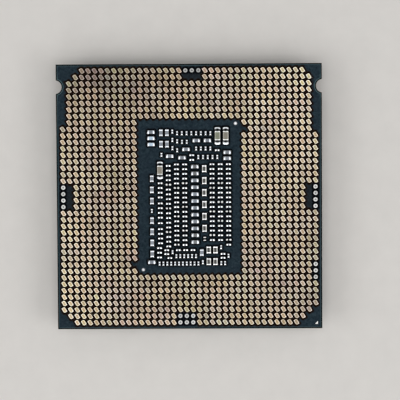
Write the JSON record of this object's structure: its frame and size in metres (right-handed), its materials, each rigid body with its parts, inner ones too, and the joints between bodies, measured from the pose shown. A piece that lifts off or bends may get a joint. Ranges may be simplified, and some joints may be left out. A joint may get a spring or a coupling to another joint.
{
  "type": "computer processor",
  "caption": "Square processor package with slanted gold contact lands round a window of chip capacitors, two keying notches and a nickel-plated heat spreader beneath.",
  "frame": {"origin": "centre of the heat spreader's cooler face, which the part rests on", "axes": "+Z from the heat spreader to the lands, +Y towards the notched end, +X to the right seen from the lands"},
  "size_m": [0.0376, 0.0376, 0.0049],
  "materials": {
    "laminate": "satin solder mask",
    "nickel_plate": "satin nickel plating over copper",
    "black_sealant": "cured silicone",
    "thermal_compound": "grey thermal compound",
    "silicon": "polished",
    "underfill_resin": "cured epoxy",
    "land_gold": "matte gold plating",
    "pad_tin": "matte tin",
    "white_ink": "printed ink",
    "mark_gold": "gold plating",
    "bulk_ceramic": "fired ceramic",
    "broad_ceramic": "fired ceramic",
    "medium_ceramic": "fired ceramic",
    "small_ceramic": "fired ceramic",
    "terminal_tin": "bright tin",
    "solder": "bright solder"
  },
  "bodies": {
    "root": {"package_substrate": "laminate", "heat_spreader": "nickel_plate", "lid_sealant": "black_sealant", "thermal_interface": "thermal_compound", "silicon_die": "silicon", "die_underfill": "underfill_resin", "contact_lands_north": "land_gold", "contact_lands_south": "land_gold", "contact_lands_west": "land_gold", "contact_lands_east": "land_gold", "test_pads": "pad_tin", "fiducial_marks": "pad_tin", "printed_corner_mark": "white_ink", "plated_corner_mark": "mark_gold", "bare_site_solder": "solder", "bulk_capacitor_bodies": "bulk_ceramic", "bulk_capacitor_terminals": "terminal_tin", "bulk_capacitor_solder": "solder", "broad_capacitor_bodies": "broad_ceramic", "broad_capacitor_terminals": "terminal_tin", "broad_capacitor_solder": "solder", "medium_capacitor_bodies": "medium_ceramic", "medium_capacitor_terminals": "terminal_tin", "medium_capacitor_solder": "solder", "small_capacitor_bodies_upper": "small_ceramic", "small_capacitor_terminals_upper": "terminal_tin", "small_capacitor_solder_upper": "solder", "small_capacitor_bodies_west": "small_ceramic", "small_capacitor_terminals_west": "terminal_tin", "small_capacitor_solder_west": "solder", "small_capacitor_bodies_east": "small_ceramic", "small_capacitor_terminals_east": "terminal_tin", "small_capacitor_solder_east": "solder", "small_capacitor_bodies_lower": "small_ceramic", "small_capacitor_terminals_lower": "terminal_tin", "small_capacitor_solder_lower": "solder"}
  },
  "joints": []
}
